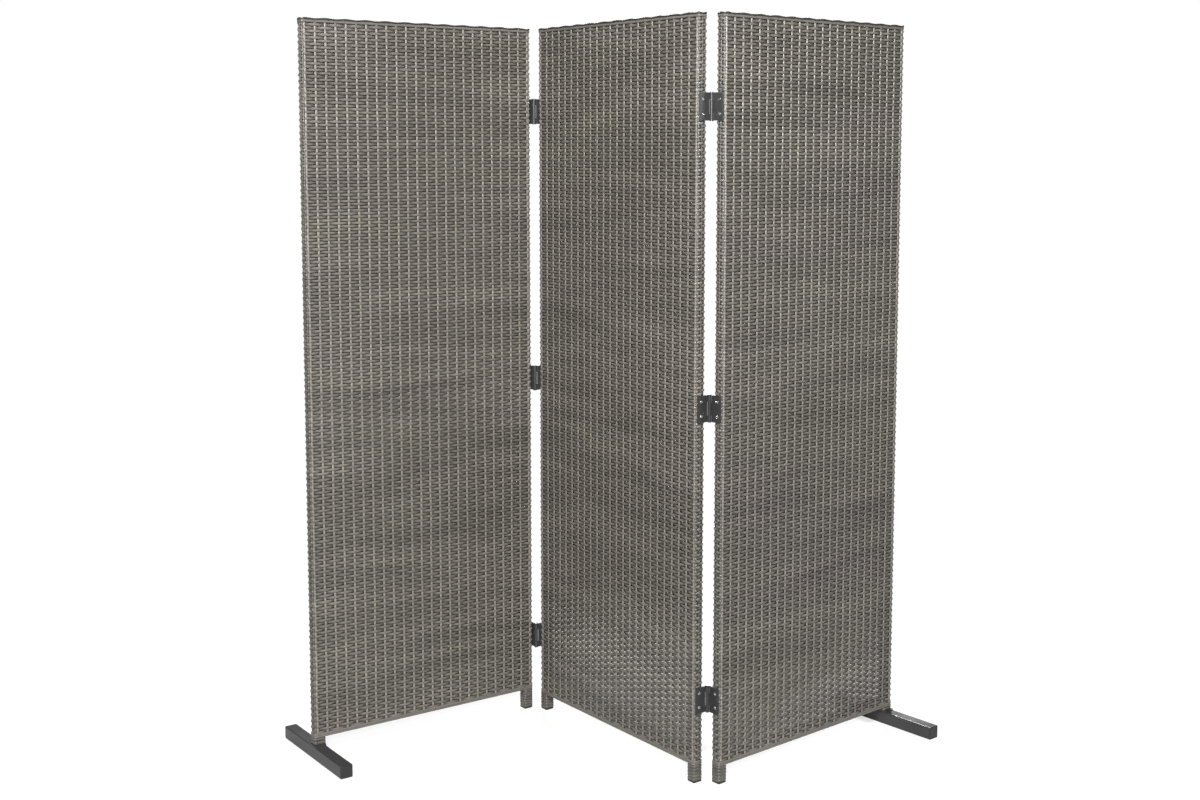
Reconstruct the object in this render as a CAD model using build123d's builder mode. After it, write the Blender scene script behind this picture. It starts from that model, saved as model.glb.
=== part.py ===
from build123d import *
import os
from math import cos, radians, sin

# Folding room divider: three woven panels on steel tube frames, joined by butt hinges in a zigzag,
# with a cross foot under each outer leg. Millimetres, +Z up, origin at the centre of the base.
# Each panel has its own plan axes: x along the panel from its left end, y from its front face back.

os.makedirs("parts", exist_ok=True)

# Whole screen
screen_height = 1700.0
panel_width = 600.0
panel_depth = 26.0
panel_corner = 6.0
panel_turn = {"left": 36.0, "middle": -52.0, "right": 41.5}
weave_bottom = {"left": 50.0, "middle": 41.0, "right": 41.0}

# Woven cover: a strand layer over upright stakes, closed by a border strip along the top and bottom
cover_wall = 1.5
stake_width = 5.0
stake_thickness = 1.0
stake_edge = 8.6
stake_count = 24
border_height = 10.0

# Frame of square tube, one layer of stake and two of strand in from the panel's faces
frame_inset = 4.0
tube_wall = 1.2
tube_corner = 2.0
slip = 0.2
tube_size = panel_depth - 2 * frame_inset
middle_rail_height = 860.0

# Wrapped legs and their plastic glides
wrap_size = 25.0
wrap_end_gap = 0.5
outer_wrap_width = 29.0
wrap_corner = 4.0
glide_size = 24.0
glide_height = 4.0
glide_corner = 3.0
plug_length = 18.0

# Cross feet
bar_size = 30.0
bar_wall = 1.5
bar_corner = 2.5
foot_length = 305.0
cap_thickness = 3.0
cap_plug = 15.0
cap_chamfer = 1.2
plate_thickness = 3.0
plate_length = 34.0
bolt_radius = 4.0
bolt_head_radius = 6.5
bolt_head_height = 5.0
bolt_length = 32.0
access_radius = 9.0

# Butt hinges: pin axis out in front of (or behind) the panel faces and just past their ends
hinge_heights = (190.0, 845.0, 1500.0)
hinge_height = 60.0
axis_out = 9.0
axis_past = 3.5
leaf_thickness = 2.0
leaf_margin = 2.0
leaf_corner = 3.0
knuckle_radius = 4.5
knuckle_end = 15.0
knuckle_gap = 0.3
pin_radius = 2.5
pin_clearance = 0.06
pin_head_radius = 3.8
pin_head_height = 1.2
swing_clearance = 0.5

# Raised countersunk hinge screws
screw_rise = 16.0
screw_radius = 2.0
screw_hole_radius = 2.1
screw_head_radius = 3.75
screw_sink_radius = 3.85
screw_sink_angle = 82
screw_dome = 1.3
screw_crown_radius = 2.2
screw_point = 0.4
screw_length = 11.0
screw_tip = 2.0
screw_cut = 8.0

panels = ("left", "middle", "right")
along = {p: Vector(cos(radians(a)), sin(radians(a)), 0) for p, a in panel_turn.items()}
inward = {p: Vector(-sin(radians(a)), cos(radians(a)), 0) for p, a in panel_turn.items()}


def centred_places():
    """Each panel's front left corner, with the plan box of all panels and feet centred on the origin."""
    left_axis = Vector(0, 0, 0)
    corner = {
        "left": left_axis - along["left"] * (panel_width + axis_past) + inward["left"] * axis_out,
        "middle": left_axis + along["middle"] * axis_past + inward["middle"] * axis_out,
    }
    right_axis = corner["middle"] + along["middle"] * (panel_width + axis_past)
    right_axis += inward["middle"] * (panel_depth + axis_out)
    corner["right"] = right_axis + along["right"] * axis_past - inward["right"] * (panel_depth + axis_out)

    rounds = []
    for p in panels:
        for x in (panel_corner, panel_width - panel_corner):
            for y in (panel_corner, panel_depth - panel_corner):
                rounds.append((corner[p] + along[p] * x + inward[p] * y, panel_corner))
    for p, foot_x in foot_centres.items():
        for x in (-1, 1):
            for y in (-1, 1):
                reach_x = x * (bar_size / 2 - bar_corner)
                reach_y = y * foot_length / 2
                spot = corner[p] + along[p] * (foot_x + reach_x) + inward[p] * (panel_depth / 2 + reach_y)
                rounds.append((spot, 0.0))
                spot = corner[p] + along[p] * (foot_x + x * bar_size / 2)
                spot += inward[p] * (panel_depth / 2 + y * (foot_length / 2 - cap_chamfer))
                rounds.append((spot, 0.0))
    low_x = min(spot.X - r for spot, r in rounds)
    high_x = max(spot.X + r for spot, r in rounds)
    low_y = min(spot.Y - r for spot, r in rounds)
    high_y = max(spot.Y + r for spot, r in rounds)
    middle = Vector((low_x + high_x) / 2, (low_y + high_y) / 2, 0)
    return {p: spot - middle for p, spot in corner.items()}, left_axis - middle, right_axis - middle


leg_x = {"left": frame_inset + tube_size / 2, "right": panel_width - frame_inset - tube_size / 2}
foot_centres = {"left": leg_x["left"], "right": leg_x["right"]}
corner, left_axis, right_axis = centred_places()


def level(p, x, y, z):
    """Horizontal plane at a panel's own (x, y) and height z: X along the panel, Y towards its back."""
    spot = corner[p] + along[p] * x + inward[p] * y
    return Plane(origin=(spot.X, spot.Y, z), x_dir=along[p], z_dir=(0, 0, 1))


def facing_end(p, x, y, z, side):
    """Upright plane across a panel that looks out of its right end (side 1) or its left end (side -1)."""
    spot = corner[p] + along[p] * x + inward[p] * y
    return Plane(origin=(spot.X, spot.Y, z), x_dir=(0, 0, 1), z_dir=along[p] * side)


def facing_back(p, x, y, z):
    """Upright plane along a panel that looks out of its back: X along the panel, Y down."""
    spot = corner[p] + along[p] * x + inward[p] * y
    return Plane(origin=(spot.X, spot.Y, z), x_dir=along[p], z_dir=inward[p])


def save(piece, name):
    piece.part.label = name
    export_step(piece.part, f"parts/{name}.step")


def tube_outline(size, wall, corner_radius):
    RectangleRounded(size, size, corner_radius)
    RectangleRounded(size - 2 * wall, size - 2 * wall, corner_radius - wall, mode=Mode.SUBTRACT)


# Where the hinges sit: each joint's two panels, which end of each, and on which face the pin stands
joints = {
    "left": {"pin_side": "front", "ends": {"left": 1, "middle": -1}},
    "right": {"pin_side": "back", "ends": {"middle": 1, "right": -1}},
}
hinge_names = ("lower", "centre", "upper")


def end_x(side):
    return panel_width if side == 1 else 0.0


def screw_spots(p):
    """(side, height) of each hinge screw of a panel."""
    spots = []
    for joint in joints.values():
        if p in joint["ends"]:
            for z in hinge_heights:
                spots += [(joint["ends"][p], z - screw_rise), (joint["ends"][p], z + screw_rise)]
    return spots


def cut_screw_holes(p, sides=(-1, 1)):
    for side, z in screw_spots(p):
        if side in sides:
            with BuildSketch(facing_end(p, end_x(side), panel_depth / 2, z, side)) as hole:
                Circle(screw_hole_radius)
            extrude(hole.sketch, amount=-screw_cut, mode=Mode.SUBTRACT)


# Which leg of a panel stands on a cross foot, and which way each side looks
foot_side = {"left": "left", "right": "right"}
side_sign = {"left": -1, "right": 1}
top_of_frame = screen_height - frame_inset


def leg_bottom(p, side_name):
    """Height where a leg's tube ends: on a foot plate at the screen's outer ends, else on a glide."""
    return bar_size + plate_thickness if side_name == foot_side.get(p) else glide_height


# Frames: two stiles that run down into the legs, and three rails between them
for p in panels:
    for side_name, x in leg_x.items():
        with BuildPart() as stile:
            with BuildSketch(level(p, x, panel_depth / 2, leg_bottom(p, side_name))):
                tube_outline(tube_size, tube_wall, tube_corner)
            extrude(amount=top_of_frame - leg_bottom(p, side_name))
            cut_screw_holes(p, (side_sign[side_name],))
        save(stile, f"{p}_panel_{side_name}_stile")

    rail_start = frame_inset + tube_size
    rail_heights = {
        "top": top_of_frame - tube_size / 2,
        "middle": middle_rail_height,
        "bottom": weave_bottom[p] + frame_inset + tube_size / 2,
    }
    for rail_name, z in rail_heights.items():
        with BuildPart() as rail:
            with BuildSketch(facing_end(p, rail_start, panel_depth / 2, z, 1)):
                tube_outline(tube_size, tube_wall, tube_corner)
            extrude(amount=panel_width - 2 * rail_start)
        save(rail, f"{p}_panel_{rail_name}_rail")

# Upright stakes between the strand layer and the frame, on both faces and at mid end
stake_pitch = (panel_width - 2 * stake_edge) / (stake_count - 1)
stake_depth = cover_wall + stake_thickness / 2
for p in panels:
    stake_foot = weave_bottom[p] + border_height
    stake_run = screen_height - border_height - stake_foot
    with BuildPart() as stakes:
        with BuildSketch(level(p, 0, 0, stake_foot)):
            face_places = [
                (stake_edge + n * stake_pitch, y)
                for n in range(stake_count)
                for y in (stake_depth, panel_depth - stake_depth)
            ]
            with Locations(*face_places):
                Rectangle(stake_width, stake_thickness)
            with Locations((stake_depth, panel_depth / 2), (panel_width - stake_depth, panel_depth / 2)):
                Rectangle(stake_thickness, stake_width)
        extrude(amount=stake_run)
        cut_screw_holes(p)
    save(stakes, f"{p}_panel_warp_stakes")

# Woven cover: the strand layer, a sleeve round the whole panel
for p in panels:
    cover_foot = weave_bottom[p] + border_height
    with BuildPart() as cover:
        with BuildSketch(level(p, panel_width / 2, panel_depth / 2, cover_foot)):
            RectangleRounded(panel_width, panel_depth, panel_corner)
            RectangleRounded(
                panel_width - 2 * cover_wall,
                panel_depth - 2 * cover_wall,
                panel_corner - cover_wall,
                mode=Mode.SUBTRACT,
            )
        extrude(amount=screen_height - border_height - cover_foot)
        cut_screw_holes(p)
    save(cover, f"{p}_panel_woven_cover")

# Border strips that close the weave over the top rail and under the bottom rail
pocket_width = panel_width - 2 * (frame_inset - slip)
pocket_depth = panel_depth - 2 * (frame_inset - slip)
for p in panels:
    with BuildPart() as top_border:
        with BuildSketch(level(p, panel_width / 2, panel_depth / 2, screen_height - border_height)):
            RectangleRounded(panel_width, panel_depth, panel_corner)
        extrude(amount=border_height)
        with BuildSketch(level(p, panel_width / 2, panel_depth / 2, screen_height - border_height)):
            RectangleRounded(pocket_width, pocket_depth, tube_corner)
        extrude(amount=border_height - frame_inset, mode=Mode.SUBTRACT)
        fillet(top_border.edges().group_by(Axis.Z)[-1], radius=frame_inset / 2)
    save(top_border, f"{p}_panel_top_border")

    with BuildPart() as bottom_border:
        with BuildSketch(level(p, panel_width / 2, panel_depth / 2, weave_bottom[p])):
            RectangleRounded(panel_width, panel_depth, panel_corner)
        extrude(amount=border_height)
        with BuildSketch(level(p, panel_width / 2, panel_depth / 2, weave_bottom[p] + frame_inset)):
            RectangleRounded(pocket_width, pocket_depth, tube_corner)
        extrude(amount=border_height - frame_inset, mode=Mode.SUBTRACT)
        with BuildSketch(level(p, 0, panel_depth / 2, weave_bottom[p])):
            with Locations((leg_x["left"], 0), (leg_x["right"], 0)):
                RectangleRounded(tube_size + 2 * slip, tube_size + 2 * slip, tube_corner)
        extrude(amount=frame_inset, mode=Mode.SUBTRACT)
    save(bottom_border, f"{p}_panel_bottom_border")

# Strand wraps round the legs below the weave, wider round the two that stand on the feet
for p in panels:
    with BuildPart() as wraps:
        for side_name, x in leg_x.items():
            on_foot = side_name == foot_side.get(p)
            wrap_width = outer_wrap_width if on_foot else wrap_size
            toward_middle = -side_sign[side_name]
            end_gap = 0.0 if on_foot else wrap_end_gap
            wrap_x = end_x(side_sign[side_name]) + toward_middle * (end_gap + wrap_width / 2)
            foot_z = leg_bottom(p, side_name)
            with BuildSketch(level(p, 0, panel_depth / 2, foot_z)):
                with Locations((wrap_x, 0)):
                    RectangleRounded(wrap_width, wrap_size, wrap_corner)
                with Locations((x, 0)):
                    RectangleRounded(
                        tube_size + 2 * slip, tube_size + 2 * slip, tube_corner, mode=Mode.SUBTRACT
                    )
            extrude(amount=weave_bottom[p] - foot_z)
    save(wraps, f"{p}_panel_leg_wraps")

# Plastic glides pressed into the legs that stand on the floor
inner_legs = {"left": ("right",), "middle": ("left", "right"), "right": ("left",)}
tube_bore = tube_size - 2 * tube_wall
for p in panels:
    with BuildPart() as glides:
        for side_name in inner_legs[p]:
            with BuildSketch(level(p, leg_x[side_name], panel_depth / 2, 0)):
                RectangleRounded(glide_size, glide_size, glide_corner)
            extrude(amount=glide_height)
            with BuildSketch(level(p, leg_x[side_name], panel_depth / 2, glide_height)):
                RectangleRounded(tube_bore - slip, tube_bore - slip, tube_corner - tube_wall)
            extrude(amount=plug_length)
        chamfer(glides.edges().group_by(Axis.Z)[0], length=1.0)
    save(glides, f"{p}_panel_leg_glides")

# Cross feet: square bar, end caps, and a bolt up through a plate into an insert in the leg
bar_length = foot_length - 2 * cap_thickness
for p, side_name in foot_side.items():
    foot_x = foot_centres[p]
    mid_y = panel_depth / 2

    with BuildPart() as bar:
        with BuildSketch(facing_back(p, foot_x, mid_y - bar_length / 2, bar_size / 2)):
            tube_outline(bar_size, bar_wall, bar_corner)
        extrude(amount=bar_length)
        with BuildSketch(level(p, foot_x, mid_y, bar_size - bar_wall)):
            Circle(bolt_radius + slip)
        extrude(amount=bar_wall, mode=Mode.SUBTRACT)
        with BuildSketch(level(p, foot_x, mid_y, 0)):
            Circle(access_radius)
        extrude(amount=bar_wall, mode=Mode.SUBTRACT)
    save(bar, f"{p}_foot_bar")

    with BuildPart() as caps:
        for end in (-1, 1):
            with BuildSketch(facing_back(p, foot_x, mid_y + end * bar_length / 2, bar_size / 2)):
                RectangleRounded(bar_size, bar_size, bar_corner)
            flange = extrude(amount=end * cap_thickness)
            outer_face = flange.faces().sort_by(Axis(level(p, foot_x, mid_y, 0).origin, inward[p] * end))[-1]
            chamfer(outer_face.edges(), length=cap_chamfer)
            with BuildSketch(facing_back(p, foot_x, mid_y + end * bar_length / 2, bar_size / 2)):
                cap_bore = bar_size - 2 * bar_wall - slip
                tube_outline(cap_bore, 2 * bar_wall, 2 * bar_wall + slip)
            extrude(amount=-end * cap_plug)
    save(caps, f"{p}_foot_end_caps")

    with BuildPart() as plate:
        with BuildSketch(level(p, foot_x, mid_y, bar_size)):
            RectangleRounded(bar_size, plate_length, glide_corner)
            Circle(bolt_radius + slip, mode=Mode.SUBTRACT)
        extrude(amount=plate_thickness)
    save(plate, f"{p}_foot_plate")

    plate_top = bar_size + plate_thickness
    with BuildPart() as insert:
        with BuildSketch(level(p, foot_x, mid_y, plate_top)):
            RectangleRounded(tube_bore - slip, tube_bore - slip, tube_corner - tube_wall)
            Circle(bolt_radius, mode=Mode.SUBTRACT)
        extrude(amount=bolt_length)
    save(insert, f"{p}_foot_insert")

    head_top = bar_size - bar_wall
    with BuildPart() as bolt:
        with BuildSketch(level(p, foot_x, mid_y, head_top - bolt_head_height)):
            RegularPolygon(bolt_head_radius, 6)
        extrude(amount=bolt_head_height)
        with BuildSketch(level(p, foot_x, mid_y, head_top)):
            Circle(bolt_radius)
        extrude(amount=bolt_length)
        chamfer(bolt.edges().group_by(Axis.Z)[-1], length=1.0)
    save(bolt, f"{p}_foot_bolt")

# Butt hinges. The middle panel's leaves carry the two end knuckles and hold the pins.
hinge_y = {"front": -axis_out, "back": panel_depth + axis_out}
leaf_near = knuckle_radius + swing_clearance


def knuckle_spans(p):
    """Heights above a hinge's foot that the leaf's own knuckles fill."""
    low, high = knuckle_end, hinge_height - knuckle_end
    if p == "middle":
        return [(0.0, low - knuckle_gap), (high + knuckle_gap, hinge_height)]
    return [(low, high)]


def build_leaf(p, side, pin_side, z):
    foot_z = z - hinge_height / 2
    pin_y = hinge_y[pin_side]
    back = 1 if pin_side == "front" else -1
    far_y = pin_y + back * (axis_out + panel_depth - leaf_margin)
    near_y = pin_y + back * leaf_near
    plate_x = end_x(side) + side * leaf_thickness / 2
    pin_x = end_x(side) + side * axis_past
    hole_radius = pin_radius if p == "middle" else pin_radius + pin_clearance
    with BuildPart() as leaf:
        with BuildSketch(facing_end(p, end_x(side), 0, z, side)):
            with Locations((0, -side * (near_y + far_y) / 2)):
                outline = Rectangle(hinge_height, abs(far_y - near_y))
            corners = outline.vertices().sort_by(Axis.Y)
            far_corners = corners[-2:] if side * back < 0 else corners[:2]
            fillet(far_corners, radius=leaf_corner)
        extrude(amount=leaf_thickness)
        for low, high in knuckle_spans(p):
            with BuildSketch(level(p, 0, 0, foot_z + low)):
                with Locations((pin_x, pin_y)):
                    Circle(knuckle_radius)
                with Locations((plate_x, (pin_y + near_y) / 2)):
                    Rectangle(leaf_thickness, abs(near_y - pin_y))
            extrude(amount=high - low)
        with BuildSketch(level(p, pin_x, pin_y, foot_z)):
            Circle(hole_radius)
        extrude(amount=hinge_height, mode=Mode.SUBTRACT)
        for rise in (-screw_rise, screw_rise):
            outer_x = end_x(side) + side * leaf_thickness
            with Locations(facing_end(p, outer_x, panel_depth / 2, z + rise, side)):
                CounterSinkHole(
                    screw_hole_radius, screw_sink_radius, leaf_thickness, counter_sink_angle=screw_sink_angle
                )
    return leaf


for joint_name, joint in joints.items():
    for p, side in joint["ends"].items():
        for hinge_name, z in zip(hinge_names, hinge_heights):
            leaf = build_leaf(p, side, joint["pin_side"], z)
            save(leaf, f"{joint_name}_joint_{hinge_name}_hinge_{p}_leaf")

    axis_spot = left_axis if joint_name == "left" else right_axis
    with BuildPart() as pins:
        for z in hinge_heights:
            foot_z = z - hinge_height / 2
            with BuildSketch(Plane.XY.offset(foot_z - pin_head_height)):
                with Locations((axis_spot.X, axis_spot.Y)):
                    Circle(pin_head_radius)
            extrude(amount=pin_head_height)
            with BuildSketch(Plane.XY.offset(foot_z)):
                with Locations((axis_spot.X, axis_spot.Y)):
                    Circle(pin_radius)
            extrude(amount=hinge_height)
            with BuildSketch(Plane.XY.offset(foot_z + hinge_height)):
                with Locations((axis_spot.X, axis_spot.Y)):
                    Circle(pin_head_radius)
            extrude(amount=pin_head_height)
    save(pins, f"{joint_name}_joint_hinge_pins")

# Hinge screws, one group for each panel
for p in panels:
    with BuildPart() as screws:
        for side, z in screw_spots(p):
            seat = facing_end(p, end_x(side), panel_depth / 2, z, side)
            from_base = (Align.CENTER, Align.CENTER, Align.MIN)
            with Locations(seat.offset(-screw_length)):
                Cone(screw_point, screw_radius, screw_tip, align=from_base)
            with Locations(seat.offset(-screw_length + screw_tip)):
                Cylinder(screw_radius, screw_length - screw_tip, align=from_base)
            with Locations(seat):
                Cone(screw_radius, screw_head_radius, leaf_thickness, align=from_base)
            with Locations(seat.offset(leaf_thickness)):
                Cone(screw_head_radius, screw_crown_radius, screw_dome, align=from_base)
    save(screws, f"{p}_panel_hinge_screws")

print("left joint axis", left_axis, "right joint axis", right_axis)
print("panel corners", {p: tuple(spot) for p, spot in corner.items()})
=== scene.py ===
"""Looks of the folding woven room divider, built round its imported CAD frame. Metres, +Z up."""

import math

import bpy
import numpy as np
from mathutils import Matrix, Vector


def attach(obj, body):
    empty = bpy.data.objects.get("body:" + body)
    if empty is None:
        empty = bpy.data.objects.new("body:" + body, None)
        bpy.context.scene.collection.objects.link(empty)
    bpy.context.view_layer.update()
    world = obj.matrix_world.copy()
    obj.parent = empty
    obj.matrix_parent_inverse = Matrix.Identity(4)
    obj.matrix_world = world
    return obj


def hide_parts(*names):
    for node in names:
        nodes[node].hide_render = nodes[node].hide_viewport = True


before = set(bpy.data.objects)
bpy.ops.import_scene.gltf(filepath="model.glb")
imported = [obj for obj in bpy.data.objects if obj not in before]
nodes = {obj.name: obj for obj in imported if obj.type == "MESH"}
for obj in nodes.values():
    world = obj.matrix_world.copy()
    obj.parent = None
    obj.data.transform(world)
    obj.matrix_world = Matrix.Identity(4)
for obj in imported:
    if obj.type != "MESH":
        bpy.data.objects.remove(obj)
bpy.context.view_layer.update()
random = np.random.default_rng(11)

MM = 0.001
QUARTER_TURN = math.pi / 2

# Weave: rings of flat strand that pass alternately over and behind upright stakes
ROW_PITCH = 7.15 * MM
ROWS_PER_BAND = 43
FIRST_ROW_HEIGHT = 0.25  # on the front face, in rows
RISE_TO_BACK = 0.5  # in rows
STAKES_PER_FACE = 24
STAKE_EDGE = 8.6 * MM  # from a panel's edge to its first stake
STEP_SHARES = (0.0, 0.09, 0.24, 0.5, 0.76, 0.91)  # a ring's steps from one stake to the next
STEPS_PER_STAKE = len(STEP_SHARES)
RING_INSET = 2.7 * MM
RING_CORNER = 3.6 * MM
RING_SWING = 2.0 * MM
CREST_NARROWING = 0.13  # share of its height that a strand loses where it lies over a stake
STAKE_INSET = 2.6 * MM
STAKE_SWING = 0.2 * MM
STAKE_OVERRUN = 3 * MM  # past the lowest and the highest row, under the borders
END_STAKE_BREADTH = 0.55  # of the stakes in the corners and at mid end, as a share of the others'
END_STAKE_DEPTH = 0.4 * MM
# Painted shade on the slim stakes in the corners and at mid end, from 0 to 1
END_STAKE_PAINTED_SHADE = 0.75
FLAT_WAVE_SHARE = 0.96

# Sizes of the random offsets
ROW_HEIGHT_DRIFT = 0.14 * MM
SWING_DRIFT = 0.05
TILT_DRIFT = 0.05
TILT_SPREAD = 0.03
STAKE_LIFT_DRIFT = 0.08 * MM
STAKE_PLACE_DRIFT = 0.3 * MM
BORDER_HEIGHT_DRIFT = 0.12 * MM
BORDER_TILT_DRIFT = 0.04
WRAP_HEIGHT_DRIFT = 0.1 * MM

# Borders
BORDER_ROW_GAP = 6.6 * MM
BORDER_SWING = 0.45 * MM
FOLDED_END_INSET = 2.0 * MM
FOLDED_END_DROP = 1.6 * MM
FOLDED_END_STEPS = 13
TOP_STRAND_DEPTH = 2.9 * MM
BOTTOM_STRAND_HEIGHT = 1.6 * MM
TOP_MARGIN = 3.5 * MM
LEG_MARGIN = 26 * MM

# Leg wraps
WRAP_PITCH = 6.9 * MM
WRAP_FULL_PITCH = 7.1 * MM  # the pitch that the strand's section fills
WRAP_CORNER = 3.2 * MM
WRAP_INSET = 0.75 * MM
WRAP_STEPS = 40

# Screw heads
SCREW_RADIUS = 3.75 * MM
SCREW_RISE = 1.35 * MM
SCREW_RINGS = 22
SCREW_SPOKES = 72
CROSS_HALF_WIDTH = 0.55 * MM
CROSS_REACH = 2.1 * MM
CROSS_DEPTH = 1.1 * MM
SCREW_GAP = 5 * MM  # points further apart in height belong to different screws

# Numbers of the strands that aren't rows of the weave. The material gives each number a tone of its own.
TOP_FLAT, TOP_LENGTHWISE, TOP_CROSSING, TOP_EDGE = 300, 310, 320, 350
BOTTOM_FLAT, BOTTOM_EDGE, BOTTOM_LENGTHWISE, BOTTOM_CROSSING = 360, 370, 380, 390
WRAPS, WRAPS_PER_LEG, STAKES, NUMBERS_PER_PANEL = 400, 20, 500, 1000

# Cross-sections as (outward, upward or sideways) offsets, round the strand
STRAND_SECTION = np.array(
    [(-0.7, 3.58), (0.15, 2.8), (0.7, 1.2), (0.7, -1.2), (0.15, -2.8), (-0.7, -3.58), (-0.95, 0.0)]
) * MM
STAKE_SECTION = np.array(
    [
        (-0.5, 2.95),
        (0.6, 2.4),
        (1.15, 1.1),
        (1.15, -1.1),
        (0.6, -2.4),
        (-0.5, -2.95),
        (-1.1, -1.5),
        (-1.1, 1.5),
    ]
) * MM
EDGE_SECTION = np.array(
    [(0.1, 2.1), (1.1, 1.5), (1.5, 0.0), (1.1, -1.5), (0.1, -2.1), (-0.9, -1.5), (-1.3, 0.0), (-0.9, 1.5)]
) * MM


def node_points(name):
    mesh = nodes[name].data
    flat = np.empty(len(mesh.vertices) * 3, np.float32)
    mesh.vertices.foreach_get("co", flat)
    return flat.reshape(-1, 3).astype(float)


class Panel:
    """A panel's own axes, read from its CAD nodes: x along its width, y from its front to its back."""

    def __init__(self, name, order):
        self.name = name
        self.body = f"{name}_panel_body"
        self.first_number = NUMBERS_PER_PANEL * order
        rail = node_points(f"{name}_panel_top_rail")[:, :2]
        along = np.linalg.svd(rail - rail.mean(0), full_matrices=False)[2][0]
        self.along = along * np.sign(along[0])
        self.inward = np.array([-self.along[1], self.along[0]])
        self.corner = np.zeros(2)
        low, high = self.extent("woven_cover")
        self.corner = self.along * low[0] + self.inward * low[1]
        self.width, self.depth = high[0] - low[0], high[1] - low[1]
        self.weave_low, self.weave_high = low[2], high[2]
        self.bottom = self.extent("bottom_border")[0][2]
        self.top = self.extent("top_border")[1][2]

    def extent(self, node):
        local = self.to_local(node_points(f"{self.name}_panel_{node}"))
        return local.min(0), local.max(0)

    def to_local(self, points):
        flat = points[..., :2] - self.corner
        return np.stack((flat @ self.along, flat @ self.inward, points[..., 2]), axis=-1)

    def to_frame(self, local):
        flat = self.corner + local[..., 0:1] * self.along + local[..., 1:2] * self.inward
        return np.concatenate((flat, local[..., 2:3]), axis=-1)

    def stake_places(self):
        """Places along the width of the stakes on one face."""
        return np.linspace(STAKE_EDGE, self.width - STAKE_EDGE, STAKES_PER_FACE)


def build_piece(panel, name, part, material, replaced=()):
    """One mesh from (points in a panel's own axes, face index arrays, values for the material or None),
    riding on the panel's body."""
    points, faces, values = part
    name = f"{panel.name}_{name}"
    mesh = bpy.data.meshes.new(name)
    mesh.vertices.add(len(points))
    mesh.vertices.foreach_set("co", panel.to_frame(points).astype(np.float32).ravel())
    corners = np.concatenate([f.ravel() for f in faces])
    sizes = np.concatenate([np.full(len(f), f.shape[1]) for f in faces])
    mesh.loops.add(len(corners))
    mesh.loops.foreach_set("vertex_index", corners.astype(np.int32))
    mesh.polygons.add(len(sizes))
    mesh.polygons.foreach_set("loop_start", (np.cumsum(sizes) - sizes).astype(np.int32))
    mesh.polygons.foreach_set("use_smooth", np.ones(len(sizes), bool))
    mesh.update(calc_edges=True)
    if values is not None:
        strand = mesh.attributes.new("strand", "FLOAT_VECTOR", "POINT")
        strand.data.foreach_set("vector", values[:, :3].astype(np.float32).ravel())
        # The recess attribute sets how much painted shade the material puts on each point.
        recess = mesh.attributes.new("recess", "FLOAT", "POINT")
        recess.data.foreach_set("value", values[:, 3].astype(np.float32))
    mesh.materials.append(material)
    piece = bpy.data.objects.new(name, mesh)
    bpy.context.scene.collection.objects.link(piece)
    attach(piece, panel.body)
    if replaced:
        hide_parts(*(f"{panel.name}_panel_{node}" for node in replaced))


def sweep(centres, outward, sideways, section, closed):
    """Strands swept along paths. centres, outward and sideways are (strands, steps, 3) and section is
    (strands, steps, corners, 2) or (corners, 2). Returns points and faces, with end caps if it is open."""
    strands, steps = centres.shape[:2]
    section = np.broadcast_to(section, (strands, steps) + section.shape[-2:])
    corners = section.shape[2]
    points = (
        centres[:, :, None]
        + outward[:, :, None] * section[..., 0:1]
        + sideways[:, :, None] * section[..., 1:2]
    )
    index = np.arange(strands * steps * corners).reshape(strands, steps, corners)
    here = index if closed else index[:, :-1]
    ahead = np.roll(index, -1, axis=1) if closed else index[:, 1:]
    quads = np.stack((here, ahead, np.roll(ahead, -1, axis=2), np.roll(here, -1, axis=2)), axis=-1)
    faces = [quads.reshape(-1, 4)]
    if not closed:
        faces += [index[:, 0].reshape(-1, corners), index[:, -1, ::-1].reshape(-1, corners)]
    return points.reshape(-1, 3), faces


def join(parts):
    """Several (points, faces, values) into one."""
    points, faces, values, count = [], [], [], 0
    for part_points, part_faces, part_values in parts:
        points.append(part_points)
        faces += [f + count for f in part_faces]
        values.append(part_values)
        count += len(part_points)
    return np.concatenate(points), faces, np.concatenate(values)


def drift(strands, lengths, waves, shortest):
    """Random offsets of about unit size along each strand, as a sum of waves. They are smooth along stakes
    and wraps. On a ring, whose last steps lie past its start, they differ from each step to the next."""
    total = lengths[-1] + (lengths[-1] - lengths[-2])
    value = np.zeros((strands, len(lengths)))
    highest = max(2, int(total / shortest))
    for _ in range(waves):
        turns = random.integers(1, highest, (strands, 1))
        phase = random.uniform(0, 2 * math.pi, (strands, 1))
        value += np.cos(2 * math.pi * turns * lengths / total + phase)
    return value / math.sqrt(waves / 2)


def alternate(numbers):
    """1 for even numbers and -1 for odd ones, as a column."""
    return np.where(numbers % 2, -1.0, 1.0)[:, None]


def round_rectangle(width, depth, inset, radius, lengths):
    """Points and outward normals at arc lengths round an outline, from its front left rightwards."""
    runs = (width - 2 * (inset + radius), depth - 2 * (inset + radius)) * 2
    begins = (
        (inset + radius, inset),
        (width - inset, inset + radius),
        (width - inset - radius, depth - inset),
        (inset, depth - inset - radius),
    )
    ways = ((1, 0), (0, 1), (-1, 0), (0, -1))
    slack = 1e-9
    points, normals = np.zeros((len(lengths), 2)), np.zeros((len(lengths), 2))
    start = 0.0
    for run, begin, way in zip(runs, begins, ways):
        way = np.array(way, float)
        outward = np.array([way[1], -way[0]])
        turn = np.clip((lengths - start - run) / radius, 0, QUARTER_TURN)
        here = (lengths >= start - slack) & (lengths < start + run + radius * QUARTER_TURN - slack)
        normal = outward * np.cos(turn)[:, None] + way * np.sin(turn)[:, None]
        straight = np.clip(lengths - start, 0, run)[:, None] * way
        place = np.array(begin) + straight + (normal - outward) * radius
        points[here], normals[here] = place[here], normal[here]
        start += run + radius * QUARTER_TURN
    return points, normals


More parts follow.
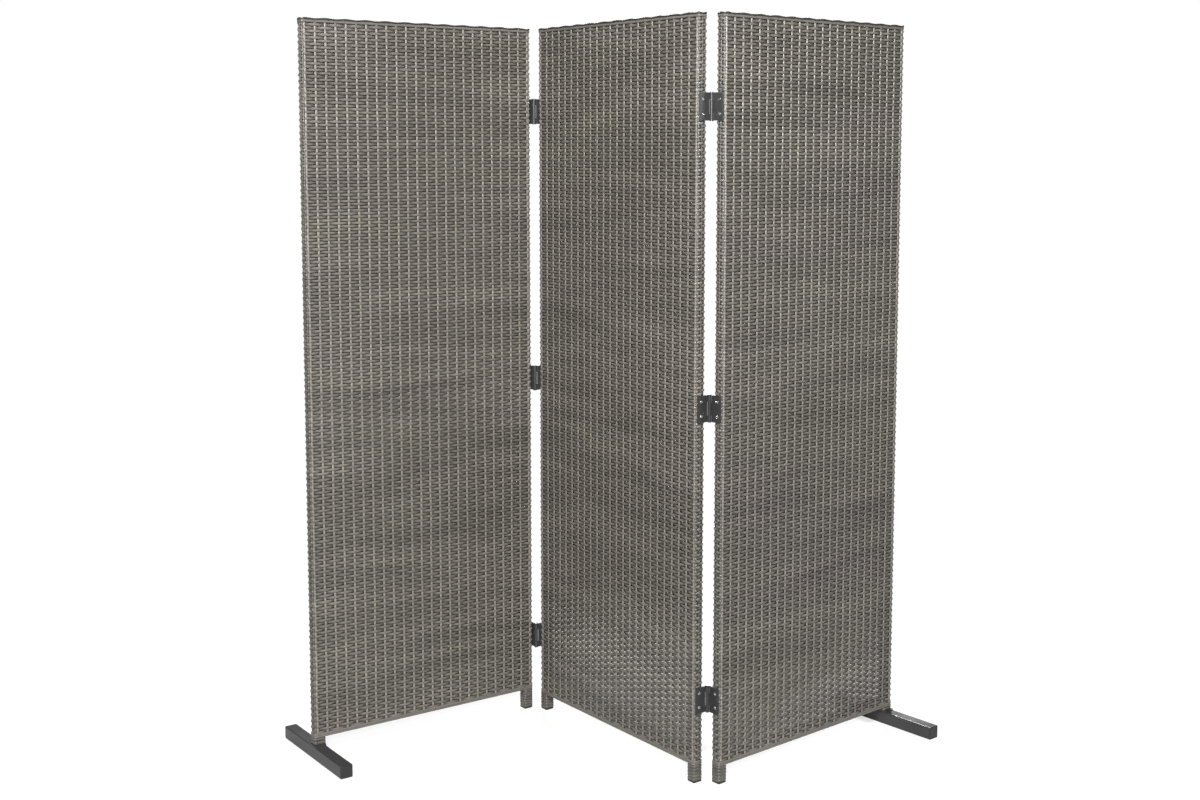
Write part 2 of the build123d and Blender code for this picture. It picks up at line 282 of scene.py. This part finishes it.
def ring_lengths(panel, inset, radius):
    """Arc lengths of the weave's steps round a panel, and how many stakes each step has passed. Stakes stand
    along both faces, at the middle of both ends and at the four corners."""
    run, end = panel.width - 2 * (inset + radius), panel.depth - 2 * (inset + radius)
    quarter = radius * QUARTER_TURN
    front = panel.stake_places() - inset - radius
    ends = run + np.array([quarter / 2, quarter + end / 2, quarter * 3 / 2 + end])
    half = np.concatenate((front, ends))
    total = 2 * (run + end + 2 * quarter)
    stakes = np.concatenate((half, total / 2 + half))
    following = np.append(stakes[1:], stakes[0] + total)
    share = np.array(STEP_SHARES)
    lengths = (stakes[:, None] + (following - stakes)[:, None] * share).ravel()
    phase = (np.arange(len(stakes))[:, None] + share).ravel()
    return lengths % total, phase


def ring_strands(outline, inset, radius, lengths, heights, lift, section, tilt, narrowing=0.0):
    """Closed strands round an outline of a width and a depth, one per row of heights, moved outward by lift
    and rolled by tilt. Narrowing is the share taken off their height."""
    shape = (len(heights), len(lengths), 3)
    place, normal = round_rectangle(*outline, inset, radius, lengths)
    outward = np.broadcast_to(np.column_stack((normal, np.zeros(len(normal)))), shape)
    upward = np.broadcast_to(np.array([0.0, 0.0, 1.0]), shape)
    centres = np.empty(shape)
    centres[..., :2] = place + normal * lift[..., None]
    centres[..., 2] = heights
    cosine, sine = np.cos(tilt)[..., None], np.sin(tilt)[..., None]
    rolled = np.stack(
        (
            section[:, 0] * cosine - section[:, 1] * sine,
            section[:, 0] * sine + section[:, 1] * cosine,
        ),
        axis=-1,
    )
    rolled[..., 1] *= 1 - np.broadcast_to(narrowing, shape[:2])[..., None]
    return sweep(centres, outward, upward, rolled, True)


def strand_values(numbers, lengths, section, recess=0.0):
    """For the material: distance along the strand, the strand's number, place across it, and how far it lies
    behind its neighbours, from 0 to 1. The material paints shade by this last value."""
    value = np.empty((len(numbers), len(lengths), len(section), 4))
    value[..., 0] = lengths[None, :, None]
    value[..., 1] = np.asarray(numbers, float)[:, None, None]
    value[..., 2] = (section[:, 1] / np.abs(section[:, 1]).max())[None, None, :]
    value[..., 3] = np.broadcast_to(recess, value.shape[:2])[..., None]
    return value.reshape(-1, 4)


def flat_wave(phase):
    """From 1 over a stake to -1 behind the next, nearly straight between the two."""
    return np.arcsin(FLAT_WAVE_SHARE * np.cos(math.pi * phase)) / math.asin(FLAT_WAVE_SHARE)


# ---------------------------------------------------------------- materials


def linear(colour):
    """An sRGB colour of 0 to 255 as a linear one with alpha."""
    share = [c / 255 for c in colour]
    return (*(c / 12.92 if c <= 0.04045 else ((c + 0.055) / 1.055) ** 2.4 for c in share), 1.0)


class Nodes:
    """A material's node tree with short calls for the nodes used here."""

    def __init__(self, name):
        self.material = bpy.data.materials.new(name)
        self.material.use_nodes = True
        self.tree = self.material.node_tree
        self.shader = self.tree.nodes["Principled BSDF"]

    def add(self, kind, **inputs):
        node = self.tree.nodes.new(kind)
        for key, value in inputs.items():
            self.put(node, key, value)
        return node

    def put(self, node, key, value):
        """A link if the value is a socket, and else a default. Sockets go by name or by number."""
        socket = node.inputs[key.replace("_", " ")] if isinstance(key, str) else node.inputs[key]
        if isinstance(value, bpy.types.NodeSocket):
            self.tree.links.new(value, socket)
        else:
            socket.default_value = value

    def math(self, operation, a, b=0.0):
        node = self.add("ShaderNodeMath")
        node.operation = operation
        self.put(node, 0, a)
        self.put(node, 1, b)
        return node.outputs[0]

    def attribute(self, name):
        node = self.add("ShaderNodeAttribute")
        node.attribute_name = name
        return node

    def mapping(self, source, scale, rotation=(0, 0, 0)):
        return self.add("ShaderNodeMapping", Vector=source, Scale=scale, Rotation=rotation).outputs[0]

    def combine(self, x, y, z=0.0):
        return self.add("ShaderNodeCombineXYZ", X=x, Y=y, Z=z).outputs[0]

    def noise(self, vector, detail=2.0, roughness=0.5, distortion=0.0):
        node = self.add(
            "ShaderNodeTexNoise",
            Vector=vector,
            Scale=1.0,
            Detail=detail,
            Roughness=roughness,
            Distortion=distortion,
        )
        return node.outputs[0]

    def object_place(self):
        return self.add("ShaderNodeTexCoord").outputs["Object"]

    def ramp(self, value, stops):
        node = self.add("ShaderNodeValToRGB", Fac=value)
        while len(node.color_ramp.elements) < len(stops):
            node.color_ramp.elements.new(0.5)
        for element, (place, colour) in zip(node.color_ramp.elements, stops):
            element.position, element.color = place, linear(colour)
        return node.outputs[0]

    def overlay(self, share, a, b):
        """Colours a and b blended: the sockets 0, 6 and 7 of a colour mix are its share and its colours."""
        node = self.add("ShaderNodeMix")
        node.data_type, node.blend_type = "RGBA", "OVERLAY"
        self.put(node, 0, share)
        self.put(node, 6, a)
        self.put(node, 7, b)
        return node.outputs[2]

    def span(self, value, low, high, new_low, new_high):
        node = self.add("ShaderNodeMapRange", Value=value)
        for key, number in zip((1, 2, 3, 4), (low, high, new_low, new_high)):
            node.inputs[key].default_value = number
        return node.outputs[0]

    def noise_span(self, value, new_low, new_high):
        """The usual range of a noise, mapped to another."""
        return self.span(value, 0.3, 0.7, new_low, new_high)

    def bump(self, height, strength, distance, normal=None):
        node = self.add("ShaderNodeBump", Height=height, Strength=strength, Distance=distance)
        if normal is not None:
            self.put(node, "Normal", normal)
        return node.outputs[0]


def rattan_material(name, brightness=1.0, roughness=0.37, specular=0.7):
    """Mottled grey-brown moulded strand: long bands of tone, a tone of its own for each strand, fine ribs,
    and painted shade in the grooves between strands and where a strand lies behind its neighbours."""
    n = Nodes(name)
    place = n.object_place()
    split = n.add("ShaderNodeSeparateXYZ", Vector=n.attribute("strand").outputs["Vector"])
    along, number, across = split.outputs

    band_place = n.mapping(place, (2.2, 2.2, 17.0), (0.03, 0.02, 0))
    bands = n.noise(band_place, detail=4.0, roughness=0.6, distortion=0.5)
    hue_place = n.mapping(place, (1.5, 1.5, 11.0), (0.02, -0.03, 0.4))
    hue = n.noise(hue_place, detail=3.0, distortion=0.4)
    own = n.noise(n.combine(n.math("MULTIPLY", along, 7.0), n.math("MULTIPLY", number, 3.7)))
    grain_place = n.combine(
        n.math("MULTIPLY", along, 40.0),
        n.math("MULTIPLY", number, 9.1),
        n.math("MULTIPLY", across, 3.0),
    )
    grain = n.noise(grain_place, detail=3.0, roughness=0.6)

    tone = n.ramp(
        bands,
        [(0.28, (107, 103, 97)), (0.43, (119, 115, 108)), (0.55, (126, 122, 114)), (0.7, (136, 132, 122))],
    )
    tint = n.ramp(hue, [(0.34, (130, 126, 128)), (0.5, (128, 127, 125)), (0.66, (129, 129, 122))])
    own_tone = n.noise_span(own, 0.86 * brightness, 1.12 * brightness)
    grain_tone = n.noise_span(grain, 0.93, 1.07)
    # Painted shade: the tone darkens towards a strand's edges, in the grooves between rows, and where the
    # strand lies behind its neighbours, down to 0.13 of it.
    groove = n.math("POWER", n.math("ABSOLUTE", across), 4.0)
    shade_depth = n.math("ADD", n.attribute("recess").outputs["Fac"], n.math("MULTIPLY", groove, 0.7))
    painted_shade_factor = n.span(shade_depth, 0.32, 1.15, 1.0, 0.13)
    scaled = n.add("ShaderNodeVectorMath", Vector=n.overlay(0.7, tone, tint))
    scaled.operation = "SCALE"
    n.put(scaled, "Scale", n.math("MULTIPLY", n.math("MULTIPLY", own_tone, grain_tone), painted_shade_factor))
    n.put(n.shader, "Base Color", scaled.outputs[0])
    n.put(n.shader, "Specular IOR Level", specular)
    n.put(n.shader, "Roughness", n.noise_span(grain, roughness - 0.06, roughness + 0.07))

    ribs = n.math("SINE", n.math("MULTIPLY", across, 17.0))
    ripple = n.bump(grain, 0.25, 0.0004)
    n.put(n.shader, "Normal", n.bump(ribs, 0.25, 0.00012, ripple))
    return n.material


def coated_material(name, colour, roughness, texture_scale=900.0, strength=0.12):
    """Satin powder coat or plastic: an even dark colour with fine texture and slight handling variation."""
    n = Nodes(name)
    place = n.object_place()
    wide = n.noise(n.mapping(place, (9.0, 9.0, 9.0)), detail=4.0, roughness=0.6)
    fine = n.noise(n.mapping(place, (texture_scale,) * 3))
    darker, lighter = [c * 0.86 for c in colour], [min(255, c * 1.12) for c in colour]
    n.put(n.shader, "Base Color", n.ramp(wide, [(0.3, darker), (0.7, lighter)]))
    n.put(n.shader, "Roughness", n.noise_span(wide, roughness - 0.05, roughness + 0.08))
    n.put(n.shader, "Normal", n.bump(fine, strength, 0.0002))
    return n.material


def metal_material(name, colour, roughness):
    """Bare steel with faint streaks."""
    n = Nodes(name)
    streaks = n.noise(n.mapping(n.object_place(), (500.0, 500.0, 2500.0)), detail=3.0)
    n.put(n.shader, "Base Color", n.ramp(streaks, [(0.3, [c * 0.9 for c in colour]), (0.7, colour)]))
    n.put(n.shader, "Metallic", 1.0)
    n.put(n.shader, "Roughness", n.noise_span(streaks, roughness - 0.04, roughness + 0.06))
    return n.material


rattan = rattan_material("rattan_weave")
# The stakes' copy is lighter: partly a paler stake tone, partly a painted highlight for the light that the
# proud stakes catch.
stake_rattan = rattan_material("rattan_stake", brightness=1.55, roughness=0.32, specular=1.0)
# The leg wraps' copy is darker: painted shade for the shadow that falls on the legs.
wrap_rattan_with_painted_shade = rattan_material("rattan_wrap", brightness=0.62)
# The top edge strand's copy is near black: painted shade for the unlit top edge.
edge_rattan_with_painted_shade = rattan_material("rattan_edge_painted_shade", brightness=0.14, roughness=0.5)
foot_coat = coated_material("foot_powder_coat", (50, 50, 51), 0.3)
hinge_coat = coated_material("hinge_powder_coat", (46, 46, 47), 0.32)
tube_coat = coated_material("tube_powder_coat", (48, 48, 50), 0.5)
plastic = coated_material("black_plastic", (38, 38, 39), 0.4, texture_scale=1600.0, strength=0.2)
pin_steel = metal_material("pin_steel", (150, 150, 152), 0.3)
screw_steel = metal_material("screw_steel", (205, 205, 205), 0.24)
zinc_steel = metal_material("zinc_steel", (170, 170, 172), 0.38)

# ---------------------------------------------------------------- weave


def climb(panel, lengths):
    """How far the spiralling strand has risen, in rows: none on the front face and half on the back."""
    place, _ = round_rectangle(panel.width, panel.depth, RING_INSET, RING_CORNER, lengths)
    return RISE_TO_BACK * (place[:, 1] - RING_INSET) / (panel.depth - 2 * RING_INSET)


def weave_rows(panel):
    """The woven rings, in bands of rows. Returns how many rows there are and the distance between them."""
    lengths, phase = ring_lengths(panel, RING_INSET, RING_CORNER)
    count = round((panel.weave_high - panel.weave_low) / ROW_PITCH)
    pitch = (panel.weave_high - panel.weave_low) / count
    wave = flat_wave(phase)
    bands = math.ceil(count / ROWS_PER_BAND)
    for band in range(bands):
        rows = np.arange(band * count // bands, (band + 1) * count // bands)
        heights = panel.weave_low + (rows[:, None] + FIRST_ROW_HEIGHT + climb(panel, lengths)) * pitch
        heights = heights + ROW_HEIGHT_DRIFT * drift(len(rows), lengths, waves=5, shortest=0.06)
        over = alternate(rows) * wave
        swing = RING_SWING * (1 + SWING_DRIFT * drift(len(rows), lengths, waves=4, shortest=0.08))
        tilt = TILT_DRIFT * drift(len(rows), lengths, waves=5, shortest=0.05)
        tilt = tilt + TILT_SPREAD * random.standard_normal((len(rows), 1))
        points, faces = ring_strands(
            (panel.width, panel.depth),
            RING_INSET,
            RING_CORNER,
            lengths,
            heights,
            over * swing,
            STRAND_SECTION,
            tilt,
            CREST_NARROWING * np.clip(over, 0, 1) ** 2,
        )
        # The last value, 1 where the ring lies behind a stake, becomes painted shade in the material.
        values = strand_values(rows + panel.first_number, lengths, STRAND_SECTION, (1 - over) / 2)
        replaced = ("woven_cover",) if band == 0 else ()
        part = points, faces, values
        build_piece(panel, f"weave_band_{band + 1}", part, rattan, replaced=replaced)
    return count, pitch


def stake_strands(panel, count, pitch):
    """Upright stakes, proud where the row's strand is behind them, as two pieces of half the stakes each.
    The slim ones in the corners and at mid end lie a little deeper and carry painted shade."""
    lengths, _ = ring_lengths(panel, STAKE_INSET, RING_CORNER)
    stakes = lengths[::STEPS_PER_STAKE]
    place, normal = round_rectangle(panel.width, panel.depth, STAKE_INSET, RING_CORNER, stakes)
    rise = climb(panel, stakes)
    steps = np.arange(-1, 2 * count + 3) / 2
    for half, members in zip(("front", "back"), np.array_split(np.arange(len(stakes)), 2)):
        row = steps[None, :] + rise[members][:, None]
        heights = panel.weave_low + row * pitch
        heights = np.clip(heights, panel.weave_low - STAKE_OVERRUN, panel.weave_high + STAKE_OVERRUN)
        at_end = members % (len(stakes) // 2) >= STAKES_PER_FACE
        breadth = np.where(at_end, END_STAKE_BREADTH, 1.0)
        lift = -STAKE_SWING * alternate(members) * np.cos(math.pi * (steps - FIRST_ROW_HEIGHT))[None, :]
        lift = lift + STAKE_LIFT_DRIFT * drift(len(members), heights[0], waves=5, shortest=0.05)
        lift = lift - np.where(at_end, END_STAKE_DEPTH, 0.0)[:, None]
        shape = (len(members), len(steps), 3)
        flat_normal = normal[members]
        outward = np.column_stack((flat_normal, np.zeros(len(members))))
        outward = np.broadcast_to(outward[:, None], shape)
        sideways = np.stack((-outward[..., 1], outward[..., 0], outward[..., 2]), axis=-1)
        aside = STAKE_PLACE_DRIFT * drift(len(members), heights[0], waves=6, shortest=0.12)
        centres = np.empty(shape)
        centres[..., :2] = place[members][:, None] + flat_normal[:, None] * lift[..., None]
        centres[..., :2] += sideways[..., :2] * aside[..., None]
        centres[..., 2] = heights
        section = np.broadcast_to(STAKE_SECTION, (len(members), len(steps)) + STAKE_SECTION.shape)
        section = section * np.stack((np.ones(len(members)), breadth), axis=-1)[:, None, None]
        points, faces = sweep(centres, outward, sideways, section, False)
        # Painted shade on the slim stakes in the corners and at mid end.
        recess = np.where(at_end, END_STAKE_PAINTED_SHADE, 0.0)[:, None]
        values = strand_values(members + STAKES + panel.first_number, heights[0], STAKE_SECTION, recess)
        replaced = ("warp_stakes",) if half == "front" else ()
        part = points, faces, values
        build_piece(panel, f"stakes_{half}", part, stake_rattan, replaced=replaced)


def plain_ring(panel, inset, radius, height, section, bumps, number, wave=0.0):
    """A closed strand that lies flat round the panel, with slight bumps where it crosses the stakes and
    an up and down wave."""
    lengths, phase = ring_lengths(panel, inset, radius)
    crossing = np.cos(math.pi * phase)
    heights = height + BORDER_HEIGHT_DRIFT * drift(1, lengths, waves=5, shortest=0.08)
    heights = heights + wave * crossing
    lift = np.abs(crossing)[None, :] ** 3 * bumps
    tilt = BORDER_TILT_DRIFT * drift(1, lengths, waves=5, shortest=0.06)
    outline = (panel.width, panel.depth)
    points, faces = ring_strands(outline, inset, radius, lengths, heights, lift, section, tilt)
    return points, faces, strand_values([number + panel.first_number], lengths, section)


def lengthwise_strands(panel, margin, height, up, number):
    """Strands along the closed top or underside, pressed in turn under the stakes' ends."""
    section = STRAND_SECTION * (1.0, 0.95)
    stake_x = panel.stake_places()
    step = (stake_x[1] - stake_x[0]) / 4
    x = np.arange(margin, panel.width - margin + step / 2, step)
    phase = (x - stake_x[0]) / (4 * step)
    places = np.array([panel.depth / 2 - BORDER_ROW_GAP, panel.depth / 2, panel.depth / 2 + BORDER_ROW_GAP])
    order = np.arange(len(places))
    shape = (len(places), len(x), 3)
    centres = np.empty(shape)
    centres[..., 0] = x
    centres[..., 1] = places[:, None]
    centres[..., 2] = height + up * alternate(order) * BORDER_SWING * np.cos(math.pi * phase)
    outward = np.broadcast_to(np.array([0.0, 0.0, up]), shape)
    sideways = np.broadcast_to(np.array([0.0, up, 0.0]), shape)
    points, faces = sweep(centres, outward, sideways, section, False)
    return points, faces, strand_values(order + number + panel.first_number, x, section)


def crossing_strands(panel, margin, height, up, number):
    """The stakes' ends folded across the top or underside."""
    stake_x = panel.stake_places()
    members = np.flatnonzero((stake_x > margin) & (stake_x < panel.width - margin))
    y = np.linspace(FOLDED_END_INSET, panel.depth - FOLDED_END_INSET, FOLDED_END_STEPS)
    from_middle = y - panel.depth / 2
    shape = (len(members), len(y), 3)
    centres = np.empty(shape)
    centres[..., 0] = stake_x[members][:, None]
    centres[..., 1] = y
    swing = np.cos(math.pi * from_middle / BORDER_ROW_GAP)
    centres[..., 2] = height + up * alternate(members) * BORDER_SWING * swing
    centres[..., 2] -= up * FOLDED_END_DROP * (np.abs(from_middle) / (panel.depth / 2)) ** 6
    outward = np.broadcast_to(np.array([0.0, 0.0, up]), shape)
    sideways = np.broadcast_to(np.array([-up, 0.0, 0.0]), shape)
    points, faces = sweep(centres, outward, sideways, STAKE_SECTION, False)
    return points, faces, strand_values(members + number + panel.first_number, y, STAKE_SECTION)


def borders(panel):
    """The strands that close a panel's top and underside, with a flat strand and a rolled one round each."""
    flat_section = STRAND_SECTION * (1.0, 0.92)
    tall_edge = EDGE_SECTION * (1.0, 1.12)
    top = panel.top - TOP_STRAND_DEPTH
    flat_height = panel.top - 7.6 * MM
    top_parts = (
        plain_ring(panel, 1.1 * MM, 4.9 * MM, flat_height, flat_section, 0.25 * MM, TOP_FLAT),
        lengthwise_strands(panel, TOP_MARGIN, top, 1.0, TOP_LENGTHWISE),
        crossing_strands(panel, 0.0, top, 1.0, TOP_CROSSING),
    )
    build_piece(panel, "top_border_strands", join(top_parts), rattan, replaced=("top_border",))
    edge_height = panel.top - 3.1 * MM
    edge = plain_ring(panel, 1.6 * MM, 4.0 * MM, edge_height, tall_edge, 0.3 * MM, TOP_EDGE, 0.8 * MM)
    # The top edge strand is near black: painted shade for the unlit top edge.
    build_piece(panel, "top_edge_strand", edge, edge_rattan_with_painted_shade)

    under = panel.bottom + BOTTOM_STRAND_HEIGHT
    flat_height = panel.bottom + 7.0 * MM
    edge_height = panel.bottom + 2.2 * MM
    bottom_parts = (
        plain_ring(panel, 1.0 * MM, 5.0 * MM, flat_height, flat_section, 0.3 * MM, BOTTOM_FLAT),
        plain_ring(panel, 1.6 * MM, 4.4 * MM, edge_height, EDGE_SECTION, 0.15 * MM, BOTTOM_EDGE),
        lengthwise_strands(panel, LEG_MARGIN, under, -1.0, BOTTOM_LENGTHWISE),
        crossing_strands(panel, LEG_MARGIN, under, -1.0, BOTTOM_CROSSING),
    )
    build_piece(panel, "bottom_border_strands", join(bottom_parts), rattan, replaced=("bottom_border",))


def leg_wraps(panel):
    """Rings of strand round both legs below the weave."""
    wrap = panel.to_local(node_points(f"{panel.name}_panel_leg_wraps"))
    parts = []
    for side in (0, 1):
        leg = wrap[(wrap[:, 0] > panel.width / 2) == bool(side)]
        low, high = leg.min(0), leg.max(0)
        width, depth = high[0] - low[0], high[1] - low[1]
        count = max(1, round((high[2] - low[2]) / WRAP_PITCH))
        pitch = (high[2] - low[2]) / count
        total = 2 * (width + depth - 4 * (WRAP_INSET + WRAP_CORNER)) + 2 * math.pi * WRAP_CORNER
        lengths = np.arange(WRAP_STEPS) / WRAP_STEPS * total
        heights = low[2] + (np.arange(count)[:, None] + 0.5) * pitch
        heights = heights + WRAP_HEIGHT_DRIFT * drift(count, lengths, waves=3, shortest=0.03)
        section = STRAND_SECTION * (1, pitch / WRAP_FULL_PITCH)
        tilt = TILT_DRIFT * drift(count, lengths, waves=3, shortest=0.03)
        lift = np.zeros((count, len(lengths)))
        points, faces = ring_strands(
            (width, depth), WRAP_INSET, WRAP_CORNER, lengths, heights, lift, section, tilt
        )
        points = points + np.array([low[0], low[1], 0.0])
        numbers = np.arange(count) + WRAPS + WRAPS_PER_LEG * side + panel.first_number
        parts.append((points, faces, strand_values(numbers, lengths, section)))
    # The wraps are darker than the weave: painted shade for the shadow on the legs.
    build_piece(panel, "leg_wrap_strands", join(parts), wrap_rattan_with_painted_shade, replaced=("leg_wraps",))


def cross_arm(a, b):
    """Depth of one arm of a screw's cross recess at a across it and b along it, from 0 to 1."""
    inside = np.clip((CROSS_HALF_WIDTH - np.abs(a)) / (0.3 * MM), 0, 1)
    return inside * np.clip((CROSS_REACH - np.abs(b)) / (0.9 * MM), 0, 1)


def screw_centres(heights):
    """Middle height of each cluster of points."""
    ordered = np.sort(heights)
    breaks = np.flatnonzero(np.diff(ordered) > SCREW_GAP) + 1
    return [(group[0] + group[-1]) / 2 for group in np.split(ordered, breaks)]


def screw_heads(panel):
    """Domed heads with a cross recess on the hinge leaves, in place of the plain CAD screws."""
    screws = panel.to_local(node_points(f"{panel.name}_panel_hinge_screws"))
    share = np.linspace(0, 1, SCREW_RINGS)[:, None]
    angle = np.arange(SCREW_SPOKES) / SCREW_SPOKES * 2 * math.pi
    across = share * SCREW_RADIUS * np.cos(angle)
    along = share * SCREW_RADIUS * np.sin(angle)
    dome = SCREW_RISE * (1 - share**2.4)
    dome = dome - CROSS_DEPTH * np.maximum(cross_arm(across, along), cross_arm(along, across))
    index = np.arange(dome.size).reshape(dome.shape)
    inner, outer = index[:-1], index[1:]
    quads = np.stack((inner, outer, np.roll(outer, -1, 1), np.roll(inner, -1, 1)), axis=-1).reshape(-1, 4)
    rim = index[-1][::-1].reshape(1, -1)
    parts = []
    for side in (-1, 1):
        end = screws[(screws[:, 0] > panel.width / 2) == (side == 1)]
        if not len(end):
            continue
        face = end[:, 0].max() if side == 1 else end[:, 0].min()
        seat = face - side * SCREW_RISE
        for z in screw_centres(end[:, 2]):
            turn = random.uniform(0, QUARTER_TURN)
            u = across * math.cos(turn) - along * math.sin(turn)
            v = across * math.sin(turn) + along * math.cos(turn)
            points = np.stack((seat + side * dome, panel.depth / 2 + side * u, z + v), axis=-1)
            parts.append((points.reshape(-1, 3), [quads, rim], np.zeros((dome.size, 4))))
    points, faces, _ = join(parts)
    build_piece(
        panel, "hinge_screw_heads", (points, faces, None), screw_steel, ("hinge_screws",)
    )


for order, name in enumerate(("left", "middle", "right")):
    panel = Panel(name, order)
    rows, pitch = weave_rows(panel)
    stake_strands(panel, rows, pitch)
    borders(panel)
    leg_wraps(panel)
    screw_heads(panel)

# ---------------------------------------------------------------- finishes of the CAD nodes that stay

# By the last word of a node's name
finishes = {
    "stile": tube_coat,
    "rail": tube_coat,
    "glides": plastic,
    "bar": foot_coat,
    "plate": foot_coat,
    "caps": plastic,
    "insert": plastic,
    "bolt": zinc_steel,
    "leaf": hinge_coat,
    "pins": pin_steel,
}
for name, node in nodes.items():
    material = finishes.get(name.split("_")[-1])
    if material is not None:
        node.data.materials.clear()
        node.data.materials.append(material)

# ---------------------------------------------------------------- floor, light and camera

FLOOR_REACH = 40.0
FLOOR_TONE = 0.86
FLOOR_MIRRORED_SHARE = 0.5
SKY_LOW = 0.16
SKY_HIGH = 0.08

# Name, place, the point it faces, width and height, watts
SOFTBOXES = (
    ("key", (0.0, -3.9, 3.7), (0, 0, 0.6), (0.7, 0.7), 360),
    ("front", (-0.3, -4.0, 1.8), (0, 0, 1.1), (0.4, 0.4), 115),
    ("right", (4.2, -1.4, 1.9), (0, 0, 1.0), (0.8, 1.6), 25),
    ("left", (-4.2, 0.2, 1.9), (0, 0, 1.0), (0.8, 1.6), 25),
    ("back", (0.4, 4.2, 3.2), (0, 0, 0.8), (1.6, 1.3), 320),
)

CAMERA_PLACE = (0.0365, -3.622, 1.410)
CAMERA_PITCH_DOWN = 5.89
CAMERA_TURN = 1.017
SENSOR_WIDTH = 36.0
FOCAL_LENGTH = 46.9
SHIFT_UP = -0.075


def floor_material():
    """Pale, and blended outwards into a white that only the camera and weak reflections see, so that it
    meets the white background without lighting the object from below."""
    n = Nodes("pale_floor")
    n.put(n.shader, "Base Color", (FLOOR_TONE, FLOOR_TONE, FLOOR_TONE, 1))
    n.put(n.shader, "Roughness", 0.7)
    distance = n.add("ShaderNodeVectorMath", Vector=n.object_place())
    distance.operation = "LENGTH"
    far = n.span(distance.outputs["Value"], 0.3, 1.6, 0.55, 1.0)
    ray = n.add("ShaderNodeLightPath")
    mirrored = n.math("MULTIPLY", ray.outputs["Is Glossy Ray"], FLOOR_MIRRORED_SHARE)
    glow = n.math("MAXIMUM", ray.outputs["Is Camera Ray"], mirrored)
    white = n.add("ShaderNodeEmission", Color=(1, 1, 1, 1), Strength=glow)
    blended = n.add("ShaderNodeMixShader", Fac=far)
    n.put(blended, 1, n.shader.outputs[0])
    n.put(blended, 2, white.outputs[0])
    n.put(n.tree.nodes["Material Output"], "Surface", blended.outputs[0])
    return n.material


def studio_world():
    """White behind the object for the camera, and a dim light on the object that is darker above."""
    world = bpy.data.worlds.new("studio")
    bpy.context.scene.world = world
    world.use_nodes = True
    tree = world.node_tree
    place = tree.nodes.new("ShaderNodeTexCoord")
    split = tree.nodes.new("ShaderNodeSeparateXYZ")
    height = tree.nodes.new("ShaderNodeMapRange")
    ray = tree.nodes.new("ShaderNodeLightPath")
    shown = tree.nodes.new("ShaderNodeMath")
    shown.operation = "MAXIMUM"
    for key, value in zip((1, 2, 3, 4), (0.05, 0.6, SKY_LOW, SKY_HIGH)):
        height.inputs[key].default_value = value
    tree.links.new(place.outputs["Generated"], split.inputs[0])
    tree.links.new(split.outputs[2], height.inputs[0])
    tree.links.new(height.outputs[0], shown.inputs[0])
    tree.links.new(ray.outputs["Is Camera Ray"], shown.inputs[1])
    tree.links.new(shown.outputs[0], tree.nodes["Background"].inputs["Color"])


def softbox(name, place, target, size, power):
    lamp = bpy.data.lights.new(name, "AREA")
    lamp.shape, lamp.size, lamp.size_y, lamp.energy = "RECTANGLE", size[0], size[1], power
    box = bpy.data.objects.new(name, lamp)
    box.location = place
    box.rotation_euler = (Vector(target) - Vector(place)).to_track_quat("-Z", "Y").to_euler()
    bpy.context.scene.collection.objects.link(box)


floor_mesh = bpy.data.meshes.new("floor")
floor_corners = [(x * FLOOR_REACH, y * FLOOR_REACH, 0) for x, y in ((-1, -1), (1, -1), (1, 1), (-1, 1))]
floor_mesh.from_pydata(floor_corners, [], [(0, 1, 2, 3)])
floor_mesh.materials.append(floor_material())
floor = bpy.data.objects.new("floor", floor_mesh)
bpy.context.scene.collection.objects.link(floor)

studio_world()
for name, place, target, size, power in SOFTBOXES:
    softbox(name, place, target, size, power)

lens = bpy.data.cameras.new("camera")
lens.sensor_width = SENSOR_WIDTH
lens.lens = FOCAL_LENGTH
lens.shift_y = SHIFT_UP
camera = bpy.data.objects.new("camera", lens)
camera.location = CAMERA_PLACE
camera.rotation_euler = (math.radians(90 - CAMERA_PITCH_DOWN), 0, math.radians(CAMERA_TURN))
bpy.context.scene.collection.objects.link(camera)
bpy.context.scene.camera = camera
bpy.context.scene.view_settings.view_transform = "Standard"
